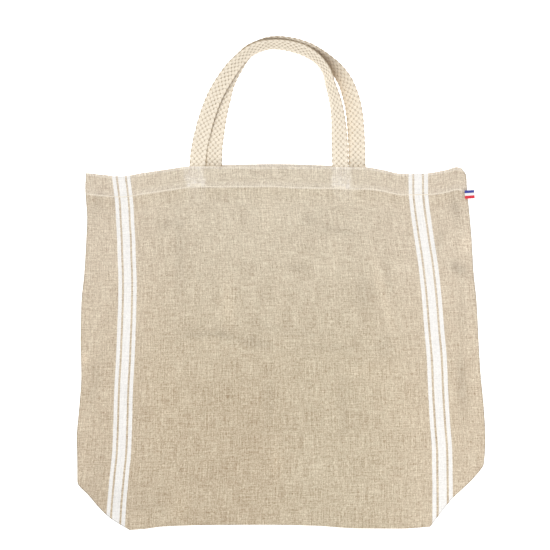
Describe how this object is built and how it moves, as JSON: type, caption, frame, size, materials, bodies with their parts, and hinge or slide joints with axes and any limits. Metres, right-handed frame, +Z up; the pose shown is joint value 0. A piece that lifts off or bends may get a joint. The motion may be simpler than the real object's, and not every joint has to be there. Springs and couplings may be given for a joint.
{
  "type": "beach tote",
  "caption": "Linen beach tote laid flat on its back, with white side stripes, a base folded inwards and braided cotton handles.",
  "frame": {"origin": "on the surface that the bag lies on, under the middle of its whole outline", "axes": "+X across the bag to the side with the ribbon, +Y from the base to the mouth and the handles, +Z up through the front panel"},
  "size_m": [0.5564, 0.6707, 0.0249],
  "materials": {
    "linen": "plain woven natural linen with white stripes",
    "cotton_braid": "flat diagonal braid of cream cotton",
    "ribbon": "woven ribbon in blue, white and red"
  },
  "bodies": {
    "root": {"body": "linen", "handle_front": "cotton_braid", "handle_back": "cotton_braid", "side_ribbon": "ribbon"}
  },
  "joints": []
}
